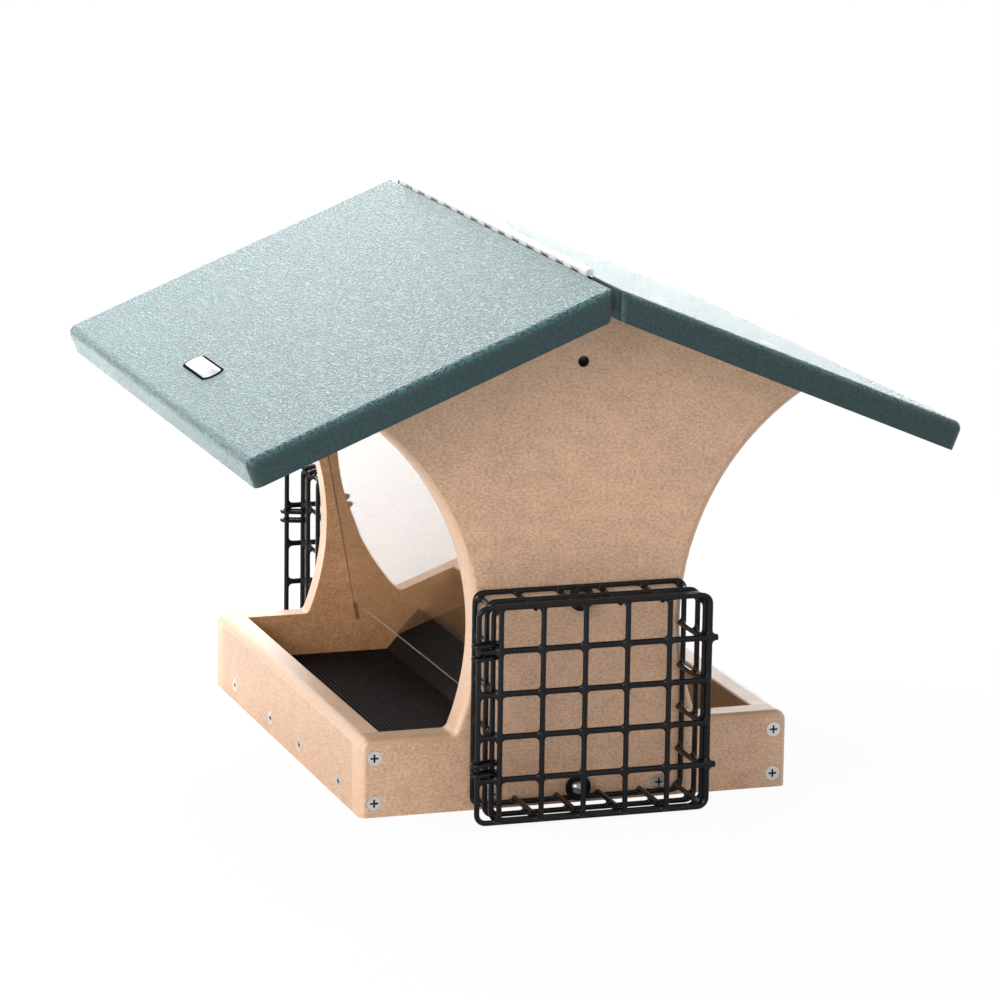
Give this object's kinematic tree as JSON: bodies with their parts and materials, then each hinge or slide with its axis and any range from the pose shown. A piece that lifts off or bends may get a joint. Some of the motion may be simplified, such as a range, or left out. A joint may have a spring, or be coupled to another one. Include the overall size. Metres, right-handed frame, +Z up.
{
  "type": "hopper bird feeder",
  "caption": "House-shaped hopper bird feeder with waisted end panels, a hinged pitched roof lid, clear seed windows, an open tray and wire suet cages on both ends.",
  "frame": {"origin": "middle of the underside of the tray", "axes": "+Z up, +Y along the ridge from the front end panel to the rear, +X across, away from the lid"},
  "size_m": [0.4067, 0.409, 0.3014],
  "materials": {
    "tan_board": "recycled plastic lumber, tan, fine mottled grain",
    "green_board": "recycled plastic lumber, dark green, pebbled satin skin",
    "black_wire": "black vinyl dip, glossy",
    "clear_sheet": "clear acrylic sheet",
    "black_mat": "ribbed black mat",
    "black_sheet": "folded black plastic sheet",
    "steel": "stainless steel",
    "label": "blank silver plate with a black border"
  },
  "bodies": {
    "feeder": {"front_end_panel": "tan_board", "rear_end_panel": "tan_board", "left_tray_rail": "tan_board", "right_tray_rail": "tan_board", "floor_board": "tan_board", "floor_mat": "black_mat", "seed_diverter": "black_sheet", "fixed_roof": "green_board", "hinge_leaf_fixed": "steel", "hinge_pin": "steel", "hinge_screws_fixed": "steel", "roof_screws": "steel", "front_panel_screws": "steel", "rear_panel_screws": "steel", "left_rail_screws": "steel", "right_rail_screws": "steel", "front_cage_basket": "black_wire", "front_cage_hinge_rings": "black_wire", "front_cage_washers": "black_wire", "front_cage_screws": "steel", "rear_cage_basket": "black_wire", "rear_cage_hinge_rings": "black_wire", "rear_cage_washers": "black_wire", "rear_cage_screws": "steel"},
    "lid": {"roof_lid": "green_board", "hinge_leaf_lid": "steel", "hinge_screws_lid": "steel", "label_plate": "label"},
    "front_door": {"front_cage_door": "black_wire"},
    "rear_door": {"rear_cage_door": "black_wire"},
    "left_pane": {"left_window": "clear_sheet"},
    "right_pane": {"right_window": "clear_sheet"}
  },
  "joints": [
    {"name": "lid_hinge", "type": "hinge", "parent": "feeder", "child": "lid", "pos_m": [0, 0, 0.29931], "axis": [0, 1, 0], "range_deg": [0, 220]},
    {"name": "front_door_hinge", "type": "hinge", "parent": "feeder", "child": "front_door", "pos_m": [-0.0703, -0.1903, 0.0634], "axis": [0, 0, -1], "range_deg": [0, 180]},
    {"name": "rear_door_hinge", "type": "hinge", "parent": "feeder", "child": "rear_door", "pos_m": [-0.0703, 0.1903, 0.0634], "axis": [0, 0, 1], "range_deg": [0, 180]},
    {"name": "left_window_lift", "type": "slide", "parent": "feeder", "child": "left_pane", "axis": [-0.1805, 0, 0.9836], "range_m": [0, 0.006]},
    {"name": "right_window_lift", "type": "slide", "parent": "feeder", "child": "right_pane", "axis": [0.1805, 0, 0.9836], "range_m": [0, 0.006]}
  ]
}
